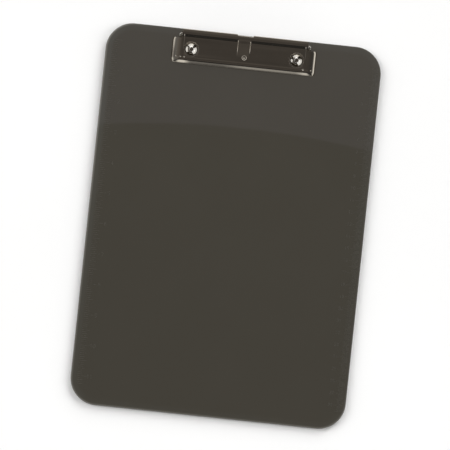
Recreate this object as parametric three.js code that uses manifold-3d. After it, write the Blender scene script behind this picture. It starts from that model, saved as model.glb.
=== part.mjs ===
// Letter-size clipboard with a low-profile spring clip, in millimetres.
// Frame: the board lies on its back. +X is to the right, +Y points to the clip end, +Z points out of the
// writing face. The origin is at the centre of the board's outline, on its back face.
import * as THREE from 'three';
import { mergeVertices } from 'three/addons/utils/BufferGeometryUtils.js';
import Module from 'manifold-3d';

const wasm = await Module();
wasm.setup();

// ---------------------------------------------------------------- driving dimensions
const BOARD_W = 228.6; // 9 in
const BOARD_L = 317.5; // 12 1/2 in
const BOARD_T = 3.0;
const BOARD_R = 22.5; // corner radius
const BOARD_CHAMFER = 0.5;
const NOTCH_W = 12.4; // finger notch in the top edge, over the hanger
const NOTCH_D = 1.0;

const SHEET = 0.9; // sheet steel of the base plate and the clip plate
const BASE_Z = BOARD_T;
const BASE_TOP = BASE_Z + SHEET;
const BASE_BACK = 2.0; // distances "down" are measured from the board's top edge
const BASE_FRONT = 25.0;
const BASE_HALF_W = 51.6;

const RIVET_X = 43.65;
const RIVET_DOWN = 16.6;
const RIVET_SHANK_R = 2.0;
const RIVET_HOLE_R = 2.15;
const RIVET_HEAD_R = 4.8;
const COUNTERBORE_R = 5.3;
const COUNTERBORE_D = 1.0;
const RIVET_DOME_R = 4.6;
const RIVET_DOME_TOP = 5.5;

const PIN_DOWN = 5.8;
const PIN_Z = 6.25;
const PIN_R = 1.1;
const PIN_HEAD_R = 1.9;
const PIN_HALF = 54.8;
const EAR_IN = 52.4; // the base plate's ears stand outside the clip plate's lugs
const EAR_OUT = 53.3;
const EAR_R = 2.4;
const LUG_IN = 51.1;
const LUG_OUT = 52.0;
const LUG_R = 2.1;
const LUG_HOLE_R = 1.2;
const EAR_HOLE_R = 1.17;

const CLIP_TOP = 9.6; // top of the flat of the clip plate
const RIM_TOP = 10.8; // top of its pressed rear rim
const RIM_HALF_W = 52.0;
const CLIP_HALF_W = 59.8;
const SIDE_START = 50.5; // where the side flanges start to roll down
const SIDE_BACK = 8.0; // the side flanges start here
const SIDE_BOTTOM = 3.6;
const LIP_GAP = 0.05; // the closed front lip stands this far above the board
const ACCESS_R = 6.0; // round holes over the rivets
const ROLL_DOWN = 24.0; // where the front starts to roll over
const ROLL_R = 5.1;
const LIP_DOWN = 29.2; // front face of the lip
const DIMPLE_DOWN = 20.3;
const DIMPLE_R = 2.6;
const DIMPLE_H = 0.9;
const BEAD_HALF_W = 5.2; // tapered bead pressed up along the middle

const WIRE_R = 0.5;
const COIL_R = 1.75; // mean radius of the spring coils
const COIL_X0 = 34.6;
const COIL_PITCH = 1.12;
const COIL_TURNS = 5;

const HANGER_Z = BASE_TOP + 0.05;
const HANGER_T = 0.8;
const HANGER_BACK = 1.3;
const HANGER_FRONT = 24.8;
const HANGER_HALF_W = 5.0;
const HANGER_TAIL_HALF_W = 7.0;
const HANGER_TAIL_BACK = 22.3;
const HANGER_EYE_DOWN = 6.4;
const HANGER_EYE_R = 2.8;

// ---------------------------------------------------------------- helpers
const yAt = (down) => BOARD_L / 2 - down;

function toSolid(geometry) {
  const g = geometry.clone();
  g.deleteAttribute('normal');
  g.deleteAttribute('uv');
  const m = mergeVertices(g, 1e-4);
  return new wasm.Manifold(
    new wasm.Mesh({
      numProp: 3,
      vertProperties: new Float32Array(m.attributes.position.array),
      triVerts: new Uint32Array(m.index.array),
    }),
  );
}

function toGeometry(solid) {
  const m = solid.getMesh();
  const g = new THREE.BufferGeometry();
  const p = new Float32Array(m.numVert * 3);
  for (let i = 0; i < m.numVert; i++)
    for (let k = 0; k < 3; k++) p[3 * i + k] = m.vertProperties[m.numProp * i + k];
  g.setAttribute('position', new THREE.BufferAttribute(p, 3));
  g.setIndex(new THREE.BufferAttribute(new Uint32Array(m.triVerts), 1));
  g.computeVertexNormals();
  return g;
}

function shapeOf(points) {
  return new THREE.Shape(points.map(([a, b]) => new THREE.Vector2(a, b)));
}

// an outline of [down, z] points, carried along X
function alongX(points, x0, x1) {
  const g = new THREE.ExtrudeGeometry(shapeOf(points.map(([d, z]) => [yAt(d), z])), {
    depth: x1 - x0,
    bevelEnabled: false,
  });
  const m = new THREE.Matrix4().makeBasis(
    new THREE.Vector3(0, 1, 0),
    new THREE.Vector3(0, 0, 1),
    new THREE.Vector3(1, 0, 0),
  );
  m.setPosition(x0, 0, 0);
  return g.applyMatrix4(m);
}

// an outline of [x, z] points, carried along Y between two distances down
function alongY(points, down0, down1) {
  const g = new THREE.ExtrudeGeometry(shapeOf(points), {
    depth: down1 - down0,
    bevelEnabled: false,
  });
  const m = new THREE.Matrix4().makeBasis(
    new THREE.Vector3(1, 0, 0),
    new THREE.Vector3(0, 0, 1),
    new THREE.Vector3(0, -1, 0),
  );
  m.setPosition(0, yAt(down0), 0);
  return g.applyMatrix4(m);
}

// an outline of [x, down] points, carried along Z
function alongZ(points, z0, z1) {
  const g = new THREE.ExtrudeGeometry(shapeOf(points.map(([x, d]) => [x, yAt(d)])), {
    depth: z1 - z0,
    bevelEnabled: false,
  });
  return g.translate(0, 0, z0);
}

function box(x0, x1, down0, down1, z0, z1) {
  const g = new THREE.BoxGeometry(x1 - x0, down1 - down0, z1 - z0);
  return g.translate((x0 + x1) / 2, yAt((down0 + down1) / 2), (z0 + z1) / 2);
}

function postZ(x, down, r, z0, z1, sides = 32) {
  const g = new THREE.CylinderGeometry(r, r, z1 - z0, sides);
  g.rotateX(Math.PI / 2);
  return g.translate(x, yAt(down), (z0 + z1) / 2);
}

function postX(x0, x1, down, z, r, sides = 32) {
  const g = new THREE.CylinderGeometry(r, r, x1 - x0, sides);
  g.rotateZ(Math.PI / 2);
  return g.translate((x0 + x1) / 2, yAt(down), z);
}

function join(...geometries) {
  let s = toSolid(geometries[0]);
  for (const g of geometries.slice(1)) s = s.add(toSolid(g));
  return s;
}

function cut(solid, ...geometries) {
  for (const g of geometries) solid = solid.subtract(toSolid(g));
  return solid;
}

const mirrorX = (points) => points.map(([x, z]) => [-x, z]).reverse();

function steel(color, roughness) {
  return new THREE.MeshStandardMaterial({ color, roughness, metalness: 1.0 });
}

const part = new THREE.Group();
function addPart(name, geometry, material) {
  const mesh = new THREE.Mesh(geometry, material);
  mesh.name = name;
  part.add(mesh);
  return mesh;
}

// ---------------------------------------------------------------- board
// one moulded plastic panel, with a shallow finger notch in the middle of its top edge
{
  const w = BOARD_W / 2;
  const h = BOARD_L / 2;
  const pts = [];
  const corner = (cx, cy, from) => {
    const n = 14;
    for (let i = 0; i <= n; i++) {
      const a = from + (Math.PI / 2) * (i / n);
      pts.push([cx + BOARD_R * Math.cos(a), cy + BOARD_R * Math.sin(a)]);
    }
  };
  corner(w - BOARD_R, -h + BOARD_R, -Math.PI / 2);
  corner(w - BOARD_R, h - BOARD_R, 0);
  corner(-w + BOARD_R, h - BOARD_R, Math.PI / 2);
  corner(-w + BOARD_R, -h + BOARD_R, Math.PI);
  const g = new THREE.ExtrudeGeometry(shapeOf(pts), {
    depth: BOARD_T - 2 * BOARD_CHAMFER,
    bevelEnabled: true,
    bevelThickness: BOARD_CHAMFER,
    bevelSize: BOARD_CHAMFER,
    bevelOffset: -BOARD_CHAMFER,
    bevelSegments: 1,
  }).translate(0, 0, BOARD_CHAMFER);
  const notch = alongZ(
    [
      [-NOTCH_W / 2 - 0.8, -1],
      [NOTCH_W / 2 + 0.8, -1],
      [NOTCH_W / 2 + 0.4, 0.1],
      [NOTCH_W / 2, NOTCH_D],
      [-NOTCH_W / 2, NOTCH_D],
      [-NOTCH_W / 2 - 0.4, 0.1],
    ],
    -1,
    BOARD_T + 1,
  );
  const cuts = [notch];
  for (const s of [-1, 1]) {
    cuts.push(postZ(s * RIVET_X, RIVET_DOWN, RIVET_HOLE_R, -1, BOARD_T + 1));
    cuts.push(postZ(s * RIVET_X, RIVET_DOWN, COUNTERBORE_R, -1, COUNTERBORE_D));
  }
  addPart(
    'board',
    toGeometry(cut(toSolid(g), ...cuts)),
    new THREE.MeshStandardMaterial({ color: 0x45423c, roughness: 0.18, metalness: 0.0 }),
  );
}

// ---------------------------------------------------------------- base plate
// flat sheet under the clip, with two ears for the pivot pin and two hooked guides for the hanger
{
  const w = BASE_HALF_W;
  const outline = [
    [-EAR_OUT, BASE_BACK + 0.8],
    [-w, BASE_BACK],
    [w, BASE_BACK],
    [EAR_OUT, BASE_BACK + 0.8],
    [EAR_OUT, 8.8],
    [w, 9.8],
    [w, BASE_FRONT - 3],
    [w - 0.9, BASE_FRONT - 0.9],
    [w - 3, BASE_FRONT],
    [-w + 3, BASE_FRONT],
    [-w + 0.9, BASE_FRONT - 0.9],
    [-w, BASE_FRONT - 3],
    [-w, 9.8],
    [-EAR_OUT, 8.8],
  ];
  const ear = [];
  ear.push([PIN_DOWN - EAR_R, BASE_TOP - 0.3]);
  for (let i = 0; i <= 12; i++) {
    const a = Math.PI - (Math.PI * i) / 12;
    ear.push([PIN_DOWN + EAR_R * Math.cos(a), PIN_Z + EAR_R * Math.sin(a)]);
  }
  ear.push([PIN_DOWN + EAR_R, BASE_TOP - 0.3]);
  const guide = [
    [5.3, BASE_TOP - 0.3],
    [6.1, BASE_TOP - 0.3],
    [6.1, 5.3],
    [5.8, 5.6],
    [4.3, 5.6],
    [4.3, 4.95],
    [5.3, 4.95],
  ];
  let s = join(
    alongZ(outline, BASE_Z, BASE_TOP),
    alongX(ear, EAR_IN, EAR_OUT),
    alongX(ear, -EAR_OUT, -EAR_IN),
    alongY(guide, 8.4, 10.6),
    alongY(mirrorX(guide), 8.4, 10.6),
  );
  s = cut(
    s,
    postX(EAR_IN - 1, EAR_OUT + 1, PIN_DOWN, PIN_Z, EAR_HOLE_R),
    postX(-EAR_OUT - 1, -EAR_IN + 1, PIN_DOWN, PIN_Z, EAR_HOLE_R),
    postZ(RIVET_X, RIVET_DOWN, RIVET_HOLE_R, 2, 6),
    postZ(-RIVET_X, RIVET_DOWN, RIVET_HOLE_R, 2, 6),
  );
  addPart('base_plate', toGeometry(s), steel(0x9b9488, 0.2));
}

// ---------------------------------------------------------------- clip plate
// one pressed sheet: raised rear rim to push on, flat middle, front lip turned down onto the board,
// side flanges rolled down, and two lugs on the pivot pin
{
  // the front rolls over on a radius and runs down to the lip
  const roll = (r, z0) => {
    const pts = [];
    for (let i = 0; i <= 9; i++) {
      const q = ((i / 9) * 84 * Math.PI) / 180;
      pts.push([ROLL_DOWN + r * Math.sin(q), z0 - r * (1 - Math.cos(q))]);
    }
    return pts;
  };
  const frontOuter = [
    [7.4, CLIP_TOP],
    ...roll(ROLL_R, CLIP_TOP),
    [LIP_DOWN, BOARD_T + LIP_GAP],
    [7.4, BOARD_T + LIP_GAP],
  ];
  const frontInner = [
    [6.9, CLIP_TOP - SHEET],
    ...roll(ROLL_R - SHEET, CLIP_TOP - SHEET),
    [LIP_DOWN - SHEET, BOARD_T - 1],
    [6.9, BOARD_T - 1],
  ];
  const side = (a, b, zc, bottom) => {
    const right = [];
    for (let i = 0; i <= 8; i++) {
      const q = (Math.PI / 2) * (i / 8);
      right.push([SIDE_START + a * Math.sin(q), zc + b * Math.cos(q)]);
    }
    right.push([SIDE_START + a, bottom]);
    const left = right.map(([x, z]) => [-x, z]).reverse();
    return [...right, ...left];
  };
  const a = CLIP_HALF_W - SIDE_START;
  const zc = 4.3;
  const sideOuter = side(a, CLIP_TOP - zc, zc, 0);
  const sideInner = side(a - SHEET, CLIP_TOP - SHEET - zc, zc, 0);

  let s = toSolid(alongX(frontOuter, -70, 70)).intersect(toSolid(alongY(sideOuter, 0, 40)));
  s = s.subtract(
    toSolid(alongX(frontInner, -70, 70)).intersect(toSolid(alongY(sideInner, -5, 45))),
  );
  // the side flanges end above the board and start in front of the pivot
  for (const k of [-1, 1]) {
    const x0 = k > 0 ? RIM_HALF_W : -70;
    const x1 = k > 0 ? 70 : -RIM_HALF_W;
    s = cut(s, box(x0, x1, 5, SIDE_BACK, -1, 12));
    const y0 = k > 0 ? 57.5 : -70;
    const y1 = k > 0 ? 70 : -57.5;
    s = cut(s, box(y0, y1, 5, LIP_DOWN - 2.6, -1, SIDE_BOTTOM));
  }

  // rear rim and the bend that joins it to the flat
  const step = RIM_TOP - CLIP_TOP;
  const rimTop = [
    [0.3, RIM_TOP - 0.75],
    [0.5, RIM_TOP - 0.3],
    [1.0, RIM_TOP - 0.05],
    [2.0, RIM_TOP],
    [3.6, RIM_TOP],
    [4.4, RIM_TOP - step * 0.05],
    [5.0, RIM_TOP - step * 0.2],
    [5.6, RIM_TOP - step * 0.43],
    [6.2, RIM_TOP - step * 0.7],
    [6.8, RIM_TOP - step * 0.91],
    [7.5, CLIP_TOP],
    [8.0, CLIP_TOP],
  ];
  const rimUnder = [
    [8.0, CLIP_TOP - SHEET],
    [7.2, CLIP_TOP - SHEET],
    [6.5, CLIP_TOP - SHEET + step * 0.1],
    [5.85, CLIP_TOP - SHEET + step * 0.32],
    [5.2, CLIP_TOP - SHEET + step * 0.61],
    [4.65, CLIP_TOP - SHEET + step * 0.84],
    [4.1, CLIP_TOP - SHEET + step * 0.96],
    [3.4, RIM_TOP - SHEET],
    [1.3, RIM_TOP - SHEET],
    [0.7, RIM_TOP - SHEET - 0.05],
    [0.3, RIM_TOP - SHEET - 0.25],
  ];
  s = s.add(toSolid(alongX([...rimTop, ...rimUnder], -RIM_HALF_W, RIM_HALF_W)));

  // tapered bead along the middle, open underneath
  s = s.add(
    toSolid(
      alongX(
        [
          [3.9, RIM_TOP - 0.04],
          [18.2, CLIP_TOP + 0.08],
          [18.6, CLIP_TOP - 0.3],
          [7.6, CLIP_TOP - 0.5],
          [4.6, RIM_TOP - 0.6],
        ],
        -BEAD_HALF_W,
        BEAD_HALF_W,
      ),
    ),
  );
  s = cut(
    s,
    alongX(
      [
        [4.3, CLIP_TOP - 1.5],
        [4.3, RIM_TOP - 1.0],
        [17.4, CLIP_TOP - 0.78],
        [17.4, CLIP_TOP - 1.5],
      ],
      -BEAD_HALF_W + SHEET,
      BEAD_HALF_W - SHEET,
    ),
  );

  // small round dimple in front of the bead
  const capR = (DIMPLE_R ** 2 + DIMPLE_H ** 2) / (2 * DIMPLE_H);
  const capZ = CLIP_TOP + DIMPLE_H - capR;
  const ball = (r) =>
    new THREE.SphereGeometry(r, 32, 24).rotateX(Math.PI / 2).translate(0, yAt(DIMPLE_DOWN), capZ);
  s = s.add(
    toSolid(ball(capR)).intersect(toSolid(box(-6, 6, DIMPLE_DOWN - 6, DIMPLE_DOWN + 6, CLIP_TOP - 0.4, 14))),
  );
  s = s.subtract(
    toSolid(ball(capR - SHEET)).intersect(toSolid(box(-6, 6, DIMPLE_DOWN - 6, DIMPLE_DOWN + 6, CLIP_TOP - 1.2, 14))),
  );

  // lugs at both ends of the rim
  const lug = [];
  for (let i = 0; i <= 12; i++) {
    const q = Math.PI + (Math.PI * i) / 12;
    lug.push([PIN_DOWN + LUG_R * Math.cos(q), PIN_Z + LUG_R * Math.sin(q)]);
  }
  lug.push(
    [PIN_DOWN + LUG_R, CLIP_TOP - 0.6],
    [7.0, CLIP_TOP - 0.5],
    [6.0, CLIP_TOP - 0.05],
    [5.0, CLIP_TOP + 0.45],
    [PIN_DOWN - LUG_R, RIM_TOP - 0.5],
  );
  s = s.add(toSolid(alongX(lug, LUG_IN, LUG_OUT)));
  s = s.add(toSolid(alongX(lug, -LUG_OUT, -LUG_IN)));

  // pin holes, access holes over the rivets, and the finger notch in the rim
  s = cut(
    s,
    postX(LUG_IN - 2, LUG_OUT + 2, PIN_DOWN, PIN_Z, LUG_HOLE_R),
    postX(-LUG_OUT - 2, -LUG_IN + 2, PIN_DOWN, PIN_Z, LUG_HOLE_R),
    postZ(RIVET_X, RIVET_DOWN, ACCESS_R, 8, 11, 40),
    postZ(-RIVET_X, RIVET_DOWN, ACCESS_R, 8, 11, 40),
    alongZ(
      [
        [-NOTCH_W / 2 - 0.8, -1],
        [NOTCH_W / 2 + 0.8, -1],
        [NOTCH_W / 2 + 0.3, 0.5],
        [NOTCH_W / 2, NOTCH_D + 0.2],
        [-NOTCH_W / 2, NOTCH_D + 0.2],
        [-NOTCH_W / 2 - 0.3, 0.5],
      ],
      8,
      13,
    ),
  );
  addPart('clip_plate', toGeometry(s), steel(0xa39c90, 0.12));
}

// ---------------------------------------------------------------- pivot pin
// one rod through both lugs and both ears, with a formed head at each end
{
  const h = PIN_HALF;
  const face = EAR_OUT + 0.08;
  const profile = [
    [0, -h],
    [1.1, -h + 0.08],
    [1.6, -h + 0.35],
    [PIN_HEAD_R, -h + 0.85],
    [PIN_HEAD_R, -face],
    [PIN_R, -face],
    [PIN_R, face],
    [PIN_HEAD_R, face],
    [PIN_HEAD_R, h - 0.85],
    [1.6, h - 0.35],
    [1.1, h - 0.08],
    [0, h],
  ].map(([r, z]) => new THREE.Vector2(r, z));
  const g = new THREE.LatheGeometry(profile, 28);
  g.rotateZ(-Math.PI / 2);
  g.translate(0, yAt(PIN_DOWN), PIN_Z);
  addPart('pivot_pin', toGeometry(toSolid(g)), steel(0xb2ada2, 0.18));
}

// ---------------------------------------------------------------- torsion springs
// each is coiled on the pin: one leg lies on the base plate, the other pushes up under the rim
class SpringPath extends THREE.Curve {
  constructor(side) {
    super();
    this.side = side;
    this.a0 = (270 * Math.PI) / 180;
    this.a1 = (107 * Math.PI) / 180;
    this.sweep = this.a0 - this.a1 + COIL_TURNS * 2 * Math.PI;
    this.leg1 = 4.1;
    this.leg2 = 4.75;
    this.coil = COIL_R * this.sweep;
    this.total = this.leg1 + this.coil + this.leg2;
  }
  getPoint(u, target = new THREE.Vector3()) {
    const d = u * this.total;
    const py = yAt(PIN_DOWN);
    const x = (k) => this.side * (COIL_X0 + COIL_PITCH * (this.sweep / (2 * Math.PI)) * k);
    if (d < this.leg1) return target.set(x(0), py + (this.leg1 - d), PIN_Z - COIL_R);
    if (d > this.leg1 + this.coil) {
      const e = d - this.leg1 - this.coil;
      return target.set(
        x(1),
        py + COIL_R * Math.cos(this.a1) + e * Math.sin(this.a1),
        PIN_Z + COIL_R * Math.sin(this.a1) - e * Math.cos(this.a1),
      );
    }
    const k = (d - this.leg1) / this.coil;
    const q = this.a0 - this.sweep * k;
    return target.set(x(k), py + COIL_R * Math.cos(q), PIN_Z + COIL_R * Math.sin(q));
  }
}
for (const side of [-1, 1]) {
  const section = [];
  for (let i = 0; i < 8; i++) {
    const q = ((i + 0.5) / 8) * 2 * Math.PI;
    section.push([WIRE_R * Math.cos(q), WIRE_R * Math.sin(q)]);
  }
  const g = new THREE.ExtrudeGeometry(shapeOf(section), {
    steps: 92,
    bevelEnabled: false,
    extrudePath: new SpringPath(side),
  });
  addPart(
    side < 0 ? 'torsion_spring_left' : 'torsion_spring_right',
    toGeometry(toSolid(g)),
    steel(0x8f8c86, 0.3),
  );
}

// ---------------------------------------------------------------- rivets
// semi-tubular: flat head sunk in the back of the board, hollow end rolled over on the base plate
for (const side of [-1, 1]) {
  const profile = [
    [0, 0.05],
    [RIVET_HEAD_R - 0.3, 0.05],
    [RIVET_HEAD_R, 0.3],
    [RIVET_HEAD_R - 0.1, 0.7],
    [RIVET_HEAD_R - 0.7, COUNTERBORE_D - 0.04],
    [RIVET_SHANK_R, COUNTERBORE_D - 0.04],
    [RIVET_SHANK_R, BASE_TOP + 0.03],
    [RIVET_DOME_R - 0.1, BASE_TOP + 0.03],
    [RIVET_DOME_R, BASE_TOP + 0.3],
    [RIVET_DOME_R - 0.2, BASE_TOP + 0.85],
    [RIVET_DOME_R - 0.7, BASE_TOP + 1.3],
    [RIVET_DOME_R - 1.4, RIVET_DOME_TOP - 0.05],
    [2.3, RIVET_DOME_TOP - 0.05],
    [1.8, RIVET_DOME_TOP - 0.4],
    [1.55, RIVET_DOME_TOP - 1.0],
    [1.5, 2.8],
    [0, 2.5],
  ].map(([r, z]) => new THREE.Vector2(r, z));
  const g = new THREE.LatheGeometry(profile, 28);
  g.rotateX(Math.PI / 2);
  g.translate(side * RIVET_X, yAt(RIVET_DOWN), 0);
  addPart(side < 0 ? 'rivet_left' : 'rivet_right', toGeometry(toSolid(g)), steel(0xd6d2ca, 0.1));
}

// ---------------------------------------------------------------- hanger
// flat strip that slides out through the rear: rounded end with an eye and a turned-up finger lip,
// and a wider tail that stops against the guides
{
  const w = HANGER_HALF_W;
  const b = HANGER_BACK;
  const outline = [
    [-w + 1.6, b],
    [w - 1.6, b],
    [w - 0.5, b + 0.5],
    [w, b + 1.6],
    [w, HANGER_TAIL_BACK - 0.6],
    [w + 0.6, HANGER_TAIL_BACK],
    [HANGER_TAIL_HALF_W, HANGER_TAIL_BACK],
    [HANGER_TAIL_HALF_W, HANGER_FRONT - 0.6],
    [HANGER_TAIL_HALF_W - 0.6, HANGER_FRONT],
    [-HANGER_TAIL_HALF_W + 0.6, HANGER_FRONT],
    [-HANGER_TAIL_HALF_W, HANGER_FRONT - 0.6],
    [-HANGER_TAIL_HALF_W, HANGER_TAIL_BACK],
    [-w - 0.6, HANGER_TAIL_BACK],
    [-w, HANGER_TAIL_BACK - 0.6],
    [-w, b + 1.6],
    [-w + 0.5, b + 0.5],
  ];
  let s = join(
    alongZ(outline, HANGER_Z, HANGER_Z + HANGER_T),
    box(-w + 1.6, w - 1.6, b, b + HANGER_T, HANGER_Z + 0.2, HANGER_Z + 2.0),
  );
  s = cut(s, postZ(0, HANGER_EYE_DOWN, HANGER_EYE_R, 3, 6));
  addPart('hanger', toGeometry(s), steel(0xa8a297, 0.2));
}

export default part;
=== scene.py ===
"""Looks for the clipboard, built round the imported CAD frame. Metres, row frame: +X right, +Y to the clip end, +Z out of the writing face."""

import math

import bmesh
import bpy
import numpy as np
from mathutils import Matrix, Vector

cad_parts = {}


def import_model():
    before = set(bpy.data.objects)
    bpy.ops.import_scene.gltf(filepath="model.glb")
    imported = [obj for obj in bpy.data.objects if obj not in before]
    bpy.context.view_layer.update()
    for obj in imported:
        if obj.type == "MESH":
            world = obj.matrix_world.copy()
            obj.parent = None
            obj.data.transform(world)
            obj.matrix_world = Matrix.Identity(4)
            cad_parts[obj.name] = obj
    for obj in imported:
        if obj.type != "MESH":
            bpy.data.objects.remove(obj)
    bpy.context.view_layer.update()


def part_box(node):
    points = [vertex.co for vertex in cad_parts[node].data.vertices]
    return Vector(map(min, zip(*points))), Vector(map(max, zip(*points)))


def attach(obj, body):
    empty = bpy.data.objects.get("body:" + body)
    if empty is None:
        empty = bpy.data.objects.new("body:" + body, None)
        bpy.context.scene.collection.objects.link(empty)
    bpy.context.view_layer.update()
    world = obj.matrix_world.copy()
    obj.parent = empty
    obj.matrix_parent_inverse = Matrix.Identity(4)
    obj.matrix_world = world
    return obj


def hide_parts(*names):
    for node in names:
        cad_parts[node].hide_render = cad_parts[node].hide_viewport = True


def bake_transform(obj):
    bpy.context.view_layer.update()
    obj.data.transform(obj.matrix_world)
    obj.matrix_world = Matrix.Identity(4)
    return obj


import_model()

MM = 0.001
B_LO, B_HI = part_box("board")
C_LO, C_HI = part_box("clip_plate")
P_LO, P_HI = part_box("base_plate")
PIN_LO, PIN_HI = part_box("pivot_pin")
H_LO, H_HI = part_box("hanger")
TOP = B_HI.y  # the board's top edge; "down" is measured from it, in mm
BOARD_TOP = B_HI.z


def yd(down):
    return TOP - down * MM


def down_of(y):
    return (TOP - y) / MM


# ------------------------------------------------------------------ small mesh tools
def new_object(name, verts, faces, smooth=True):
    me = bpy.data.meshes.new(name)
    me.from_pydata([tuple(v) for v in verts], [], [tuple(f) for f in faces])
    me.validate(verbose=False)
    me.update()
    if smooth:
        me.polygons.foreach_set("use_smooth", [True] * len(me.polygons))
    ob = bpy.data.objects.new(name, me)
    bpy.context.scene.collection.objects.link(ob)
    return ob


def outward(ob):
    bm = bmesh.new()
    bm.from_mesh(ob.data)
    bmesh.ops.remove_doubles(bm, verts=bm.verts, dist=1e-7)
    bmesh.ops.recalc_face_normals(bm, faces=bm.faces)
    bm.to_mesh(ob.data)
    bm.free()
    ob.data.polygons.foreach_set("use_smooth", [True] * len(ob.data.polygons))
    ob.data.update()
    return ob


def bevel(ob, width, segments=2, angle=35):
    m = ob.modifiers.new("edge", "BEVEL")
    m.width = width
    m.segments = segments
    m.limit_method = "ANGLE"
    m.angle_limit = math.radians(angle)
    m.miter_outer = "MITER_ARC"
    m.harden_normals = False
    return m


def weighted(ob):
    m = ob.modifiers.new("normals", "WEIGHTED_NORMAL")
    m.mode = "FACE_AREA"
    m.weight = 60
    m.keep_sharp = False
    return m


def prism(outline, z0, z1, to_world):
    """A closed outline of 2-D points, carried from z0 to z1; to_world turns (u, v, w) into a point."""
    n = len(outline)
    verts = [to_world(u, v, z0) for u, v in outline] + [to_world(u, v, z1) for u, v in outline]
    faces = [list(range(n))[::-1], list(range(n, 2 * n))]
    for i in range(n):
        j = (i + 1) % n
        faces.append([i, j, n + j, n + i])
    return verts, faces


def join_parts(name, parts):
    verts, faces = [], []
    for v, f in parts:
        k = len(verts)
        verts += list(v)
        faces += [[k + i for i in q] for q in f]
    return outward(new_object(name, verts, faces))


def ring_plate(outline, hole, z0, z1, to_world):
    """A plate between an outline and a round hole that both have the same number of points."""
    n = len(outline)
    verts = []
    for z in (z0, z1):
        verts += [to_world(u, v, z) for u, v in outline]
        verts += [to_world(u, v, z) for u, v in hole]
    faces = []
    for i in range(n):
        j = (i + 1) % n
        faces.append([i, j, n + j, n + i])
        faces.append([2 * n + i, 3 * n + i, 3 * n + j, 2 * n + j])
        faces.append([i, 2 * n + i, 2 * n + j, j])
        faces.append([n + i, n + j, 3 * n + j, 3 * n + i])
    return verts, faces


def lathe(profile, segments, place, wave=None):
    """profile: (radius, height) from the bottom axis point to the top one; place turns (x, y, z) into a point."""
    verts, faces = [], []
    rows = []
    for r, z in profile:
        if r < 1e-9:
            rows.append([len(verts)])
            verts.append(place(0, 0, z))
        else:
            row = []
            for i in range(segments):
                a = 2 * math.pi * i / segments
                rr, zz = (r, z) if wave is None else wave(r, z, a)
                row.append(len(verts))
                verts.append(place(rr * math.cos(a), rr * math.sin(a), zz))
            rows.append(row)
    for a, b in zip(rows, rows[1:]):
        for i in range(segments):
            j = (i + 1) % segments
            if len(a) == 1:
                faces.append([a[0], b[j], b[i]])
            elif len(b) == 1:
                faces.append([a[i], a[j], b[0]])
            else:
                faces.append([a[i], a[j], b[j], b[i]])
    return verts, faces


def smooth01(x):
    x = min(1.0, max(0.0, x))
    return x * x * (3 - 2 * x)


def rounded_path(points, radii, steps=6):
    """A closed polygon with its corners rounded by the given radii."""
    out = []
    n = len(points)
    for i in range(n):
        p0, p1, p2 = (Vector((*points[(i + k) % n], 0)) for k in (-1, 0, 1))
        r = radii[i] if hasattr(radii, "__len__") else radii
        a, b = (p0 - p1), (p2 - p1)
        la, lb = a.length, b.length
        a.normalize()
        b.normalize()
        angle = math.acos(max(-1, min(1, a.dot(b))))
        if r <= 0 or angle > math.radians(178):
            out.append((p1.x, p1.y))
            continue
        cut = min(r / math.tan(angle / 2), la * 0.49, lb * 0.49)
        rr = cut * math.tan(angle / 2)
        mid = (a + b).normalized()
        c = p1 + mid * (rr / math.sin(angle / 2))
        s, e = p1 + a * cut - c, p1 + b * cut - c
        turn = math.acos(max(-1, min(1, s.normalized().dot(e.normalized()))))
        for k in range(steps + 1):
            f = k / steps
            w0 = math.sin((1 - f) * turn) / math.sin(turn) if turn > 1e-6 else 1 - f
            w1 = math.sin(f * turn) / math.sin(turn) if turn > 1e-6 else f
            q = c + s * w0 + e * w1
            out.append((q.x, q.y))
    return out


# ------------------------------------------------------------------ material tools
class Nodes:
    def __init__(self, tree):
        self.tree = tree
        self.nodes, self.links = tree.nodes, tree.links

    def add(self, kind, **settings):
        n = self.nodes.new(kind)
        for k, v in settings.items():
            setattr(n, k, v)
        return n

    def put(self, socket, value):
        if isinstance(value, bpy.types.NodeSocket):
            self.links.new(value, socket)
        elif hasattr(value, "__len__") and len(value) == 3 and socket.type == "RGBA":
            socket.default_value = (*value, 1.0)
        else:
            socket.default_value = value

    def math(self, op, a, b=None, c=None, clamp=False):
        n = self.add("ShaderNodeMath", operation=op, use_clamp=clamp)
        for i, v in enumerate((a, b, c)):
            if v is not None:
                self.put(n.inputs[i], v)
        return n.outputs[0]

    def ramp(self, value, lo, hi, to0=0.0, to1=1.0, smooth=True):
        n = self.add("ShaderNodeMapRange", interpolation_type="SMOOTHSTEP" if smooth else "LINEAR")
        n.clamp = True
        for i, v in enumerate((value, lo, hi, to0, to1)):
            self.put(n.inputs[i], v)
        return n.outputs[0]

    def mix(self, factor, a, b, blend="MIX"):
        n = self.add("ShaderNodeMix", data_type="RGBA", blend_type=blend)
        self.put(n.inputs[0], factor)
        self.put(n.inputs[6], a)
        self.put(n.inputs[7], b)
        return n.outputs[2]

    def noise(self, vector, scale, detail=2.0, roughness=0.5, distortion=0.0):
        n = self.add("ShaderNodeTexNoise")
        self.put(n.inputs["Vector"], vector)
        n.inputs["Scale"].default_value = scale
        n.inputs["Detail"].default_value = detail
        n.inputs["Roughness"].default_value = roughness
        n.inputs["Distortion"].default_value = distortion
        return n.outputs[0]

    def mapped(self, vector, scale=(1, 1, 1), rotate=(0, 0, 0), move=(0, 0, 0)):
        n = self.add("ShaderNodeMapping")
        self.put(n.inputs["Vector"], vector)
        n.inputs["Scale"].default_value = scale
        n.inputs["Rotation"].default_value = rotate
        n.inputs["Location"].default_value = move
        return n.outputs[0]

    def bump(self, height, distance, strength=1.0, normal=None):
        n = self.add("ShaderNodeBump")
        self.put(n.inputs["Height"], height)
        n.inputs["Distance"].default_value = distance
        n.inputs["Strength"].default_value = strength
        if normal is not None:
            self.put(n.inputs["Normal"], normal)
        return n.outputs[0]


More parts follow.
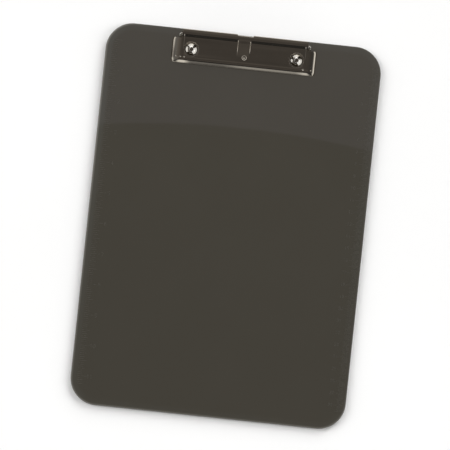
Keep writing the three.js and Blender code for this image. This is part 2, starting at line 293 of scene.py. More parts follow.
def material(name):
    mat = bpy.data.materials.new(name)
    mat.use_nodes = True
    mat.node_tree.nodes.clear()
    k = Nodes(mat.node_tree)
    out = k.add("ShaderNodeOutputMaterial")
    bsdf = k.add("ShaderNodeBsdfPrincipled")
    k.links.new(bsdf.outputs[0], out.inputs[0])
    coord = k.add("ShaderNodeTexCoord").outputs["Object"]
    return mat, k, bsdf, coord


def metal(name, tint, tint2, rough=0.1, spread=0.06, brush=(60, 2400, 2400), brush_depth=0.25e-6, stain=0.25):
    """Plated or bare steel: drifting tone, drawn lines along one axis, small pits, and roughness that follows them."""
    mat, k, bsdf, coord = material(name)
    cloud = k.noise(coord, 70.0, 4.0, 0.55)
    lines = k.noise(k.mapped(coord, brush), 1.0, 3.0, 0.6)
    fine = k.noise(coord, 2600.0, 2.0, 0.6)
    pits = k.ramp(k.noise(coord, 900.0, 1.0, 0.5), 0.70, 0.78)
    tone = k.ramp(cloud, 0.35, 0.68)
    base = k.mix(tone, tint, tint2)
    dull = k.mix(k.math("MULTIPLY", pits, stain), base, tuple(c * 0.55 for c in tint2))
    streak = k.mix(k.math("MULTIPLY", k.ramp(lines, 0.45, 0.75), 0.18), dull, tuple(min(1, c * 1.15) for c in tint))
    k.put(bsdf.inputs["Base Color"], streak)
    bsdf.inputs["Metallic"].default_value = 1.0
    r = k.math("ADD", k.math("MULTIPLY", k.ramp(cloud, 0.3, 0.75), spread), rough)
    r = k.math("ADD", r, k.math("MULTIPLY", lines, spread * 0.5))
    r = k.math("ADD", r, k.math("MULTIPLY", pits, 0.12), clamp=True)
    k.put(bsdf.inputs["Roughness"], r)
    n = k.bump(lines, brush_depth, 1.0)
    n = k.bump(fine, brush_depth * 0.35, 1.0, n)
    k.put(bsdf.inputs["Normal"], n)
    return mat


# ------------------------------------------------------------------ board
BW, BL = (B_HI.x - B_LO.x) / MM, (B_HI.y - B_LO.y) / MM
BT = BOARD_TOP / MM
CORNER = 22.5
NOTCH_HALF, NOTCH_DEEP = 6.2, 1.0
RIVET_X = (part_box("rivet_right")[0].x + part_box("rivet_right")[1].x) / 2 / MM
RIVET_DOWN = down_of((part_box("rivet_right")[0].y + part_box("rivet_right")[1].y) / 2)
PIN_Y = (PIN_LO.y + PIN_HI.y) / 2
PIN_Z = (PIN_LO.z + PIN_HI.z) / 2


def board_outline():
    """(x, y, inward normal x, y, share of the edge rounding) anticlockwise, in mm."""
    w, h = BW / 2, BL / 2
    pts = []

    def corner(sx, sy, a0, n=30):
        cx, cy = sx * (w - CORNER), sy * (h - CORNER)
        for i in range(n + 1):
            a = a0 + math.pi / 2 * i / n
            pts.append((cx + CORNER * math.cos(a), cy + CORNER * math.sin(a), -math.cos(a), -math.sin(a), 1.0))

    corner(1, 1, 0)
    # finger notch in the top edge
    xs = [70, 40, 20, 12] + [9.0 - 0.25 * i for i in range(0, 21)] + [3.0, 1.5]
    xs = xs + [0.0] + [-x for x in reversed(xs)]

    def depth(x):
        return NOTCH_DEEP * smooth01((NOTCH_HALF + 0.75 - abs(x)) / 0.95)

    for x in xs:
        slope = (depth(x + 0.01) - depth(x - 0.01)) / 0.02
        nx, ny = -slope, -1.0
        length = math.hypot(nx, ny)
        share = 1.0 - 0.75 * smooth01((10.0 - abs(x)) / 2.5)
        pts.append((x, h - depth(x), nx / length, ny / length, share))
    corner(-1, 1, math.pi / 2)
    corner(-1, -1, math.pi)
    corner(1, -1, 1.5 * math.pi)
    return pts


def build_board():
    outline = board_outline()
    n = len(outline)
    r_top, r_low = 1.15, 0.8
    profile = []  # (inset, z)
    for i in range(9):
        a = math.pi / 2 * i / 8
        profile.append((r_low * (1 - math.sin(a)), r_low * (1 - math.cos(a)), "low"))
    for i in range(11):
        a = math.pi / 2 * i / 10
        profile.append((r_top * (1 - math.cos(a)), BT - r_top * (1 - math.sin(a)), "top"))
    profile.append((2.4, BT, "flat"))
    profile.insert(0, (2.4, 0.0, "flat"))
    verts, faces = [], []
    for inset, z, kind in profile:
        for x, y, nx, ny, share in outline:
            d = inset * (share if kind != "flat" else min(1.0, share + 0.1))
            zz = z
            if kind == "low":
                zz = z * share
            elif kind == "top":
                zz = BT - (BT - z) * share
            verts.append((( x + nx * d) * MM, (y + ny * d) * MM, zz * MM))
    rows = len(profile)
    for r in range(rows - 1):
        for i in range(n):
            j = (i + 1) % n
            faces.append([r * n + i, r * n + j, (r + 1) * n + j, (r + 1) * n + i])
    faces.append([i for i in range(n)][::-1])
    faces.append([(rows - 1) * n + i for i in range(n)])
    ob = outward(new_object("board_panel", verts, faces))
    # stepped holes for the two rivets, cut from the back
    for s in (-1, 1):
        prof = [(0, -1), (5.45, -1), (5.45, 0.0), (5.3, 0.18), (5.3, 1.0), (2.15, 1.0), (2.15, BT + 1), (0, BT + 1)]
        v, f = lathe([(r * MM, z * MM) for r, z in prof], 64, lambda x, y, z, s=s: (s * RIVET_X * MM + x, yd(RIVET_DOWN) + y, z))
        cutter = outward(new_object(f"cutter_{s}", v, f))
        m = ob.modifiers.new("cut", "BOOLEAN")
        m.operation, m.object, m.solver = "DIFFERENCE", cutter, "EXACT"
        bpy.context.view_layer.update()
        dg = bpy.context.evaluated_depsgraph_get()
        me = bpy.data.meshes.new_from_object(ob.evaluated_get(dg), depsgraph=dg)
        ob.modifiers.clear()
        ob.data = me
        bpy.data.objects.remove(cutter)
    ob.data.polygons.foreach_set("use_smooth", [True] * len(ob.data.polygons))
    # the flat faces stay flat, and the holes keep sharp edges
    bm = bmesh.new()
    bm.from_mesh(ob.data)
    for e in bm.edges:
        if len(e.link_faces) == 2 and e.calc_face_angle(0) > math.radians(38):
            e.smooth = False
    bm.to_mesh(ob.data)
    bm.free()
    weighted(ob).keep_sharp = True
    return ob


board = build_board()
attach(board, "board")
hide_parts("board")

# ------------------------------------------------------------------ ruler marks, moulded proud of the face
DIGITS = {
    "0": [[(0.5, 0), (0.12, 0.12), (0, 0.35), (0, 0.65), (0.12, 0.88), (0.5, 1), (0.88, 0.88), (1, 0.65), (1, 0.35), (0.88, 0.12), (0.5, 0)]],
    "1": [[(0.2, 0.78), (0.55, 1), (0.55, 0)]],
    "2": [[(0.05, 0.78), (0.2, 0.95), (0.5, 1), (0.85, 0.92), (0.95, 0.7), (0.8, 0.48), (0, 0), (1, 0)]],
    "3": [[(0.05, 0.88), (0.5, 1), (0.9, 0.88), (0.9, 0.64), (0.45, 0.53), (0.95, 0.4), (0.95, 0.13), (0.5, 0), (0.03, 0.13)]],
    "4": [[(0.75, 0), (0.75, 1), (0, 0.3), (1, 0.3)]],
    "5": [[(0.9, 1), (0.15, 1), (0.1, 0.55), (0.5, 0.63), (0.9, 0.5), (0.95, 0.2), (0.5, 0), (0.03, 0.12)]],
    "6": [[(0.85, 0.95), (0.5, 1), (0.1, 0.75), (0.02, 0.35), (0.2, 0.06), (0.5, 0), (0.88, 0.1), (0.95, 0.35), (0.75, 0.56), (0.4, 0.56), (0.06, 0.4)]],
    "7": [[(0, 1), (1, 1), (0.35, 0)]],
    "8": [[(0.5, 0.53), (0.12, 0.66), (0.12, 0.88), (0.5, 1), (0.88, 0.88), (0.88, 0.66), (0.5, 0.53), (0.05, 0.38), (0.05, 0.12), (0.5, 0), (0.95, 0.12), (0.95, 0.38), (0.5, 0.53)]],
    "9": [[(0.12, 0.05), (0.5, 0), (0.9, 0.25), (0.98, 0.65), (0.8, 0.94), (0.5, 1), (0.12, 0.9), (0.05, 0.65), (0.25, 0.45), (0.6, 0.43), (0.93, 0.6)]],
}


def stroke(points, half, z0, z1, taper=0.45):
    """A raised stroke along a polyline: flat top, sloping sides and ends."""
    verts, faces = [], []
    pts = [Vector((x, y)) for x, y in points]
    n = len(pts)
    closed = (pts[0] - pts[-1]).length < 1e-9 and n > 3
    rows = []
    for i, p in enumerate(pts):
        if closed:
            a, b = pts[(i - 1) % (n - 1)], pts[(i + 1) % (n - 1)]
        else:
            a, b = pts[max(0, i - 1)], pts[min(n - 1, i + 1)]
        t = (b - a).normalized()
        side = Vector((-t.y, t.x))
        ext = 0.0
        q = p
        if not closed and i in (0, n - 1):
            ext = half if i == n - 1 else -half
        q = p + t * ext
        inner = p + t * ext * (1 - taper)
        rows.append(
            (
                (q + side * half, z0),
                (inner + side * half * (1 - taper), z1),
                (inner - side * half * (1 - taper), z1),
                (q - side * half, z0),
            )
        )
    for row in rows:
        for p, z in row:
            verts.append((p.x * MM, p.y * MM, z * MM))
    for i in range(n - 1):
        a, b = 4 * i, 4 * (i + 1)
        for k in range(3):
            faces.append([a + k, b + k, b + k + 1, a + k + 1])
    if not closed:
        faces.append([0, 1, 2, 3])
        faces.append([4 * (n - 1) + k for k in (3, 2, 1, 0)])
    return verts, faces


def build_ruler():
    parts = []
    low, high = BT - 0.03, BT + 0.11
    left, right = -BW / 2, BW / 2
    top = BL / 2

    def tick(x0, x1, down, half=0.14):
        parts.append(stroke([(x0, top - down), (x1, top - down)], half, low, high))

    def number(text, cx, cy, height):
        w, gap = height * 0.56, height * 0.24
        total = len(text) * w + (len(text) - 1) * gap
        x = cx - total / 2
        for ch in text:
            for line in DIGITS[ch]:
                parts.append(stroke([(x + u * w, cy + (v - 0.5) * height) for u, v in line], 0.17, low, high))
            x += w + gap

    zero = 15.0
    i = 0
    while zero + 25.4 * i / 16 < BL - 16:
        d = zero + 25.4 * i / 16
        length = 7.4 if i % 16 == 0 else 6.0 if i % 8 == 0 else 5.0 if i % 4 == 0 else 4.3 if i % 2 == 0 else 3.5
        tick(left + 5.6, left + 5.6 + length, d)
        if i % 16 == 0 and i:
            number(str(i // 16), left + 15.4, top - d, 3.2)
        i += 1
    zero = 16.3
    i = 0
    while zero + i < BL - 16:
        d = zero + i
        length = 7.4 if i % 10 == 0 else 6.2 if i % 5 == 0 else 4.8
        tick(right - 2.6 - length, right - 2.6, d, 0.11)
        if i % 10 == 0 and i:
            number(str(i // 10), right - 12.9, top - d, 2.5)
        i += 1
    return join_parts("ruler_marks", parts)


ruler = build_ruler()
ruler.data.polygons.foreach_set("use_smooth", [False] * len(ruler.data.polygons))
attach(ruler, "board")

# ------------------------------------------------------------------ clip jaw
SHEET = 0.9
CLIP_TOP = 9.6
RIM_TOP = C_HI.z / MM
REAR = down_of(C_HI.y)
FRONT = down_of(C_LO.y)
SIDE = C_HI.x / MM
RIM_HALF = 52.0
SIDE_START = 50.5
SIDE_BACK = 8.0
ROLL_DOWN = 24.0
ROLL_END = FRONT - 0.42
ZC = 4.4
HOLE_R = 6.0
WIN = 6.3
CORNER_POWER = 4.2
BEAD_X = 0.55
WRINKLES = [
    (-55.4, 23.2, 20, 0.85, 0.60, 0.36), (-53.5, 24.1, 10, 0.65, 0.50, 0.32), (-51.9, 23.3, -15, 0.85, 0.60, 0.49), (-48.8, 23.3, -10, 0.85, 0.65, 0.54),
    (49.7, 23.8, 10, 1.05, 0.80, 0.66), (53.0, 24.3, 0, 0.65, 0.50, 0.26), (55.9, 23.9, -20, 0.75, 0.55, 0.33),
]

# tilt of the lip in degrees along the clip (mm across)
LIP_TILT = [(-60, 35.4), (-49.5, 36.0), (-47, 34.2), (-43, 32.0), (-18, 31.9), (-6, 32.9), (2, 33.4), (44, 33.2), (50, 35.0), (60, 35.4)]
LIP_CURVE = (0.90, 1.70)   # where the lip starts to turn down, and over what length (mm)
LIP_EDGE = 0.44            # width of the rounded edge at its front (mm)


def lip_drop(m, x):
    """How far the front lip lies below the flat at a share m of its depth (mm)."""
    tilt = math.radians(float(np.interp(x, [v[0] for v in LIP_TILT], [v[1] for v in LIP_TILT])))
    depth, ease, relax = ROLL_END - ROLL_DOWN, 0.6, 0.13
    at, slope = m * depth, math.tan(tilt)
    tilt = math.atan(slope * (1 - relax))
    q = min(1.0, max(0.0, (at - LIP_CURVE[0]) / LIP_CURVE[1]))
    drop = slope * LIP_CURVE[1] * (q**3 - q**4 / 2)
    flat_end = depth - LIP_EDGE
    drop += slope * (max(0.0, min(at, flat_end) - sum(LIP_CURVE)) - relax * max(0.0, min(at, flat_end) - flat_end + ease) ** 2 / (2 * ease))
    if at > flat_end:
        r = LIP_EDGE / (1 - math.sin(tilt))
        drop += r * (math.cos(tilt) - math.sqrt(max(0.0, 1 - (math.sin(tilt) + (at - flat_end) / r) ** 2)))
    return drop


def clip_point(x, t):
    """A place on the unrolled grid (mm across, mm down) to a point of the sheet's upper face."""
    sx = 1 if x >= 0 else -1
    ax = abs(x)
    b = min(1.0, max(0.0, (ax - SIDE_START) / (SIDE - SIDE_START)))
    a = min(1.0, max(0.0, (t - ROLL_DOWN) / (ROLL_END - ROLL_DOWN)))
    m = max(a, b)
    if a > 0 and b > 0:
        n = (a**CORNER_POWER + b**CORNER_POWER) ** (1 / CORNER_POWER)
        a2, b2 = a * m / n, b * m / n
    else:
        a2, b2 = a, b
    px = sx * (SIDE_START + b2 * (SIDE - SIDE_START)) if b > 0 else x
    pt = ROLL_DOWN + a2 * (ROLL_END - ROLL_DOWN) if a > 0 else t
    # rear edge, with the finger notch
    t0 = REAR + 0.95 * smooth01((6.95 - abs(px)) / 0.95)
    if pt < 2.6:
        pt = t0 + (pt - REAR) * (2.6 - t0) / (2.6 - REAR)
    z = CLIP_TOP
    # raised rim and the bend down to the flat
    s = 1 - smooth01((pt - 4.0) / 3.5)
    z += (RIM_TOP - CLIP_TOP) * s
    if pt < 3.2:
        z -= 0.028 * (3.2 - pt) ** 2
    if pt > 22.2:
        z -= 0.036 * (min(pt, ROLL_DOWN) - 22.2) ** 2
    d = pt - t0
    if d < 1.2:
        z -= 0.62 * (1 - d / 1.2) ** 2.4
    # bead, tapering into the flat
    if pt > 3.4 and pt < 19.0:
        bead = RIM_TOP - 0.04 - (pt - 3.9) / 14.3 * (RIM_TOP - CLIP_TOP - 0.12)
        over = max(0.0, bead - z)
        bx = abs(px + BEAD_X)
        w = smooth01((5.42 - bx) / 0.6)
        w *= smooth01((18.9 - pt) / 1.3)
        crown = 0.10 * (1 - min(1, bx / 5.2) ** 2)
        z += w * (over + crown * smooth01((pt - 5.5) / 2.5))
    # dimple: a stepped nub
    rr = math.hypot(px - 0.5, pt - 19.25)
    if rr < 2.2:
        z += 0.52 * smooth01((2.15 - rr) / 0.66) + 0.60 * smooth01((1.2 - rr) / 1.08)
    # draw wrinkles fanning out of the two front corners
    for wx, wt, wa, wl, ww, wh in WRINKLES:
        c, q = math.cos(math.radians(wa)), math.sin(math.radians(wa))
        u, v = (px - wx) * c + (pt - wt) * q, -(px - wx) * q + (pt - wt) * c
        e = (u / wl) ** 2 + (v / ww) ** 2
        if e < 1:
            z += wh * (1 - math.sqrt(0.99 * e + 0.01))
    # press crease where the sides start to turn down
    if 4.4 < pt < 15.6:
        g = (ax - 50.35) / 0.42
        if abs(g) < 1:
            z -= 0.17 * (1 - g * g) ** 2 * smooth01((pt - 4.6) / 0.9) * smooth01((15.4 - pt) / 1.2)
    # the flat bows a little
    z += 0.035 * math.sin(px / 17.0 + 0.5) * smooth01((pt - 8) / 3) * smooth01((ROLL_DOWN - 1 - pt) / 3)
    share = smooth01((a2 - b2) / 0.4 + 0.9) if m > 0 else 0.0
    z -= (1 - share) * (CLIP_TOP - ZC) * (1 - math.sqrt(max(0.0, 1 - m * m))) + share * lip_drop(m, px)
    # the sides draw in a little at their rear ends
    if b > 0:
        px -= sx * 0.45 * b2 * (max(0.0, 1 - (pt - SIDE_BACK) / 2.6) ** 2 if pt > SIDE_BACK else 1.0) * smooth01((ax - 52.2) / 2.0)
    return px, pt, z


def lines_between(a, b, step):
    n = max(1, int(math.ceil(abs(b - a) / step)))
    return [a + (b - a) * i / n for i in range(n)]


def clip_lines():
    xs = []
    xs += lines_between(0, 3.9, 0.2)
    xs += lines_between(3.9, 7.3, 0.14)
    xs += lines_between(7.3, RIVET_X - WIN, 2.3)
    xs += lines_between(RIVET_X - WIN, 47.6, 0.55)
    xs += lines_between(47.6, RIVET_X + WIN, 0.13)
    xs += lines_between(RIVET_X + WIN, SIDE_START, 0.11)
    rolls = [math.sin(math.radians(a)) for a in np.arange(0, 8.2, 0.8)]
    rolls += [(RIM_HALF - SIDE_START) / (SIDE - SIDE_START)]
    rolls += [math.sin(math.radians(a)) for a in np.arange(10.5, 46, 0.8)] + [math.sin(math.radians(a)) for a in np.arange(46.5, 84, 2.4)]
    rolls += [math.sin(math.radians(a)) for a in (84.5, 87, 89)] + [1.0]
    xs += [SIDE_START + q * (SIDE - SIDE_START) for q in rolls]
    xs = [-x for x in reversed(xs[1:])] + xs
    ts = []
    ts += lines_between(REAR, 1.5, 0.12)
    ts += lines_between(1.5, 3.8, 0.5)
    ts += lines_between(3.8, SIDE_BACK, 0.21)
    ts += lines_between(SIDE_BACK, RIVET_DOWN - WIN, 0.6)
    ts += lines_between(RIVET_DOWN - WIN, 16.4, 0.5)
    ts += lines_between(16.4, 21.4, 0.19)
    ts += lines_between(21.4, RIVET_DOWN + WIN, 0.3)
    ts += lines_between(RIVET_DOWN + WIN, ROLL_DOWN, 0.12)
    ts += [ROLL_DOWN + math.sin(math.radians(a)) * (ROLL_END - ROLL_DOWN) for a in [0, 1.2, 2.4, 3.6, 4.8, 6, 7.5] + list(range(9, 84, 3)) + [84.5, 87, 89, 90]]
    return xs, ts


def build_clip():
    xs, ts = clip_lines()
    nx, nt = len(xs), len(ts)
    verts, index, faces = [], {}, []

    def at(i, j):
        if (i, j) not in index:
            x, t, z = clip_point(xs[i], ts[j])
            index[(i, j)] = len(verts)
            verts.append([x, t, z])
        return index[(i, j)]

    eps = 1e-6
    for i in range(nx - 1):
        for j in range(nt - 1):
            cx, ct = (xs[i] + xs[i + 1]) / 2, (ts[j] + ts[j + 1]) / 2
            if abs(cx) > RIM_HALF and ct < SIDE_BACK:
                continue
            if abs(abs(cx) - RIVET_X) < WIN and abs(ct - RIVET_DOWN) < WIN:
                continue
            faces.append([at(i, j), at(i + 1, j), at(i + 1, j + 1), at(i, j + 1)])
    # round holes over the rivets, with their edges turned slightly down
    for s in (-1, 1):
        cx = s * RIVET_X
        loop = []
        ii = [i for i in range(nx) if abs(xs[i] - cx) <= WIN + eps]
        jj = [j for j in range(nt) if abs(ts[j] - RIVET_DOWN) <= WIN + eps]
        i0, i1, j0, j1 = ii[0], ii[-1], jj[0], jj[-1]
        loop += [(i, j0) for i in ii[:-1]]
        loop += [(i1, j) for j in jj[:-1]]
        loop += [(i, j1) for i in reversed(ii[1:])]
        loop += [(i0, j) for j in reversed(jj[1:])]
        outer = [at(i, j) for i, j in loop]
        angles = [math.atan2(ts[j] - RIVET_DOWN, xs[i] - cx) for i, j in loop]
        prev = outer
        for r, drop in ((HOLE_R + 0.26, 0.0), (HOLE_R + 0.12, 0.03), (HOLE_R, 0.14)):
            row = []
            for a in angles:
                x, t = cx + r * math.cos(a), RIVET_DOWN + r * math.sin(a)
                z = clip_point(x, t)[2] - drop
                row.append(len(verts))
                verts.append([x, t, z])
            for k in range(len(row)):
                q = (k + 1) % len(row)
                faces.append([prev[k], prev[q], row[q], row[k]])
            prev = row
    # skirt below the rolls
    edge = []
    for j in range(nt):
        if ts[j] >= SIDE_BACK - eps:
            edge.append((0, j))
    for i in range(1, nx):
        edge.append((i, nt - 1))
    for j in range(nt - 2, -1, -1):
        if ts[j] >= SIDE_BACK - eps:
            edge.append((nx - 1, j))
    lip_low = C_LO.z / MM + 0.02
    side_low = 3.62
    prev = [at(i, j) for i, j in edge]
    for f in (0.35, 0.7, 1.0):
        row = []
        for k, (i, j) in enumerate(edge):
            x, t, z = verts[prev[0] if False else index[(i, j)]]
            front = smooth01((t - 24.6) / 2.6)
            low = side_low + (lip_low - side_low) * front
            row.append(len(verts))
            verts.append([x, t + 0.1 * f * front, z + (low - z) * f])
        for k in range(len(row) - 1):
            faces.append([prev[k], prev[k + 1], row[k + 1], row[k]])
        prev = row
    points = [(x * MM, yd(t), z * MM) for x, t, z in verts]
    ob = new_object("clip_jaw", points, faces)
    bm = bmesh.new()
    bm.from_mesh(ob.data)
    bmesh.ops.remove_doubles(bm, verts=bm.verts, dist=1e-7)
    bmesh.ops.recalc_face_normals(bm, faces=bm.faces)
    up = sum(f.normal.z * f.calc_area() for f in bm.faces)
    if up < 0:
        bmesh.ops.reverse_faces(bm, faces=bm.faces)
    bm.to_mesh(ob.data)
    bm.free()
    ob.data.polygons.foreach_set("use_smooth", [True] * len(ob.data.polygons))
    m = ob.modifiers.new("sheet", "SOLIDIFY")
    m.thickness, m.offset = SHEET * MM, -1.0
    m.use_even_offset = True
    m.use_rim = True
    bpy.context.view_layer.update()
    dg = bpy.context.evaluated_depsgraph_get()
    me = bpy.data.meshes.new_from_object(ob.evaluated_get(dg), depsgraph=dg)
    ob.modifiers.clear()
    ob.data = me
    # lugs that hang from the rim's ends on the pin
    pin_down, pin_z = down_of(PIN_Y), PIN_Z / MM
    parts = []
    n = 48
    for s in (-1, 1):
        outline, hole = [], []
        for i in range(n):
            a = 2 * math.pi * (i + 0.5) / n
            c, q = math.cos(a), math.sin(a)
            hole.append((pin_down + 1.2 * c, pin_z + 1.2 * q))
            if q <= 0:
                outline.append((pin_down + 2.1 * c, pin_z + 2.1 * q))
            else:
                # up into the underside of the rim
                k = 2.1 / max(abs(c), 1e-9)
                t = pin_down + (2.1 if c > 0 else -2.1)
                lim = (9.05 if c > 0 else RIM_TOP - 0.6) - pin_z
                if q * k < lim:
                    outline.append((t, pin_z + q * k))
                else:
                    tt = c * lim / q
                    zz = pin_z + lim if c > 0 else pin_z + lim
                    top = (9.05 + (RIM_TOP - 0.6 - 9.05) * smooth01((2.1 - tt) / 3.0)) - pin_z
                    outline.append((pin_down + max(-2.1, min(2.1, tt)), pin_z + min(lim, top)))
        x0, x1 = (51.1, 52.0) if s > 0 else (-52.0, -51.1)
        parts.append(ring_plate(outline, hole, x0, x1, lambda u, v, w: (w * MM, yd(u), v * MM)))
    lugs = join_parts("lugs", parts)
    bm = bmesh.new()
    bm.from_mesh(ob.data)
    bm.from_mesh(lugs.data)
    bmesh.ops.remove_doubles(bm, verts=bm.verts, dist=1e-8)
    bm.to_mesh(ob.data)
    bm.free()
    bpy.data.objects.remove(lugs)
    ob.data.polygons.foreach_set("use_smooth", [True] * len(ob.data.polygons))
    bevel(ob, 0.14 * MM, 2, 48)
    weighted(ob)
    return ob


clip = build_clip()
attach(clip, "clip")
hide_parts("clip_plate")


# ------------------------------------------------------------------ base plate
def build_base():
    z0, z1 = P_LO.z / MM, P_LO.z / MM + SHEET
    back, front = down_of(P_HI.y), down_of(P_LO.y)
    w = 51.6
    ear_out = P_HI.x / MM
    outline = rounded_path(
        [
            (-w, front), (w, front), (w, 9.9), (ear_out, 8.6), (ear_out, back + 0.8), (w, back),
            (-w, back), (-ear_out, back + 0.8), (-ear_out, 8.6), (-w, 9.9),
        ],
        [3.0, 3.0, 0.5, 0.6, 0.6, 0.4, 0.4, 0.6, 0.6, 0.5],
    )
    parts = [prism(outline, z0, z1, lambda u, v, q: (u * MM, yd(v), q * MM))]
    pin_down, pin_z = down_of(PIN_Y), PIN_Z / MM
    n = 40
    for s in (-1, 1):
        ring, hole = [], []
        for i in range(n):
            a = 2 * math.pi * (i + 0.5) / n
            c, q = math.cos(a), math.sin(a)
            hole.append((pin_down + 1.17 * c, pin_z + 1.17 * q))
            if q >= 0:
                ring.append((pin_down + 2.4 * c, pin_z + 2.4 * q))
            else:
                k = min(2.4 / max(abs(c), 1e-9), (pin_z - (z1 - 0.3)) / -q)
                ring.append((pin_down + max(-2.4, min(2.4, c * k)), pin_z + q * k))
        x0, x1 = (52.4, ear_out) if s > 0 else (-ear_out, -52.4)
        parts.append(ring_plate(ring, hole, x0, x1, lambda u, v, q: (q * MM, yd(u), v * MM)))
        guide = rounded_path([(5.3, z1 - 0.3), (6.1, z1 - 0.3), (6.1, 5.6), (4.3, 5.6), (4.3, 4.95), (5.3, 4.95)], [0, 0, 0.6, 0.1, 0.1, 0.25])
        parts.append(prism([(s * u, v) for u, v in guide], 8.4, 10.6, lambda u, v, q: (u * MM, yd(q), v * MM)))
    ob = join_parts("base_sheet", parts)
    bevel(ob, 0.12 * MM, 2, 40)
    weighted(ob)
    return ob


base = build_base()
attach(base, "board")
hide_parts("base_plate")


# ------------------------------------------------------------------ pivot pin
def build_pin():
    half = PIN_HI.x / MM
    face = 53.38
    prof = [(0, -half)]
    for i in range(1, 9):
        a = math.pi / 2 * i / 8
        prof.append((1.9 * math.sin(a) ** 0.9, -half + 0.95 * (1 - math.cos(a))))
    prof += [(1.9, -face - 0.08), (1.82, -face), (1.1, -face)]
    n = 24
    for i in range(1, n):
        prof.append((1.1, -face + 2 * face * i / n))
    prof += [(1.1, face), (1.82, face), (1.9, face + 0.08)]
    for i in range(8, 0, -1):
        a = math.pi / 2 * i / 8
        prof.append((1.9 * math.sin(a) ** 0.9, half - 0.95 * (1 - math.cos(a))))
    prof.append((0, half))
    v, f = lathe([(r * MM, z * MM) for r, z in prof], 48, lambda x, y, z: (z, PIN_Y + x, PIN_Z + y))
    ob = outward(new_object("pin_rod", v, f))
    bm = bmesh.new()
    bm.from_mesh(ob.data)
    for e in bm.edges:
        if len(e.link_faces) == 2 and e.calc_face_angle(0) > math.radians(50):
            e.smooth = False
    bm.to_mesh(ob.data)
    bm.free()
    return ob


pin = build_pin()
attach(pin, "board")
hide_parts("pivot_pin")


# ------------------------------------------------------------------ rivets
def build_rivet(side, name):
    cx = side * RIVET_X
    base_top = P_LO.z / MM + SHEET
    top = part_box("rivet_right")[1].z / MM
    r_out = (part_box("rivet_right")[1].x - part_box("rivet_right")[0].x) / MM / 2
    prof = [(0, 0.05), (1.2, 0.05), (2.4, 0.05), (3.6, 0.05), (4.3, 0.07), (4.6, 0.13), (4.78, 0.27), (4.8, 0.42), (4.72, 0.66), (4.4, 0.88), (4.0, 0.96), (2.0, 0.96)]
    prof += [(2.0, 1.6), (2.0, 2.6), (2.0, base_top + 0.03)]
    # a broad smooth dome with a small dished mouth
    dome, mouth = 4.8, 1.45
    ball = 10.4
    rise = ball - math.sqrt(ball * ball - dome * dome)
    foot = top - rise
    prof += [(3.2, base_top + 0.03), (dome - 0.35, base_top + 0.03), (dome - 0.12, base_top + 0.07), (dome, base_top + 0.3), (dome, foot - 0.12)]
    for i in range(17):
        r = dome + (mouth + 0.25 - dome) * i / 16
        prof.append((r, foot + rise - (ball - math.sqrt(ball * ball - r * r))))
    rim_z = prof[-1][1]
    prof += [(mouth + 0.12, rim_z), (mouth, rim_z - 0.1), (mouth - 0.06, rim_z - 0.4), (1.45, 3.4), (1.4, 2.7), (1.0, 2.55), (0, 2.5)]
    phase = 0.4 if side < 0 else 1.3

    def wave(r, z, a):
        if z > (base_top + 0.2) * MM and r > 1.6 * MM:
            k = 0.5 + 0.5 * math.cos(3 * (a + phase))
            return r, z - 0.035 * MM * smooth01((r / MM - 1.6) / 1.2) * k
        return r, z

    v, f = lathe([(r * MM, z * MM) for r, z in prof], 96, lambda x, y, z: (cx * MM + x, yd(RIVET_DOWN) + y, z), wave)
    ob = outward(new_object(name, v, f))
    bm = bmesh.new()
    bm.from_mesh(ob.data)
    for e in bm.edges:
        if len(e.link_faces) == 2 and e.calc_face_angle(0) > math.radians(60):
            e.smooth = False
    bm.to_mesh(ob.data)
    bm.free()
    return ob


rivets = []
for side, name, node in ((-1, "rivet_roll_left", "rivet_left"), (1, "rivet_roll_right", "rivet_right")):
    r = build_rivet(side, name)
    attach(r, "board")
    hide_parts(node)
    rivets.append(r)


# ------------------------------------------------------------------ torsion springs
def spring_point(side, d, a0, sweep, a1, leg1, coil, r, x0, pitch):
    py, pz = down_of(PIN_Y), PIN_Z / MM
    y = -py  # in mm, measured from the top edge, positive upwards

    def x(k):
        return side * (x0 + pitch * (sweep / (2 * math.pi)) * k)

    if d < leg1:
        return (x(0), y + (leg1 - d), pz - r)
    if d > leg1 + coil:
        e = d - leg1 - coil
        return (x(1), y + r * math.cos(a1) + e * math.sin(a1), pz + r * math.sin(a1) - e * math.cos(a1))
    k = (d - leg1) / coil
    q = a0 - sweep * k
    return (x(k), y + r * math.cos(q), pz + r * math.sin(q))


def build_spring(side, name):
    a0, a1 = math.radians(270), math.radians(107)
    sweep = a0 - a1 + 5 * 2 * math.pi
    leg1, leg2, r, wire = 4.1, 4.75, 1.75, 0.5
    coil = r * sweep
    total = leg1 + coil + leg2
    marks = [0, 0.12, 0.3]
    marks += list(np.linspace(0.6, leg1, 5))
    marks += list(np.linspace(leg1, leg1 + coil, 230))[1:]
    marks += list(np.linspace(leg1 + coil, total - 0.6, 6))[1:]
    marks += [total - 0.3, total - 0.12, total]
    pts = [Vector(spring_point(side, d, a0, sweep, a1, leg1, coil, r, 34.6, 1.12)) for d in marks]
    n = 20
    verts, faces, rows = [], [], []
    normal = None
    for i, p in enumerate(pts):
        t = (pts[min(i + 1, len(pts) - 1)] - pts[max(i - 1, 0)]).normalized()
        if normal is None:
            normal = Vector((1, 0, 0))
        normal = (normal - t * normal.dot(t)).normalized()
        other = t.cross(normal)
        e = min(marks[i], total - marks[i])
        w = wire * (0.72 if e < 0.01 else 0.93 if e < 0.2 else 1.0)
        row = []
        for k in range(n):
            a = 2 * math.pi * k / n
            q = p + (normal * math.cos(a) + other * math.sin(a)) * w
            row.append(len(verts))
            verts.append((q.x * MM, TOP + q.y * MM, q.z * MM))
        rows.append(row)
    for a, b in zip(rows, rows[1:]):
        for k in range(n):
            j = (k + 1) % n
            faces.append([a[k], a[j], b[j], b[k]])
    faces.append(rows[0][::-1])
    faces.append(rows[-1])
    return outward(new_object(name, verts, faces)), 34.6, 34.6 + 1.12 * sweep / (2 * math.pi)


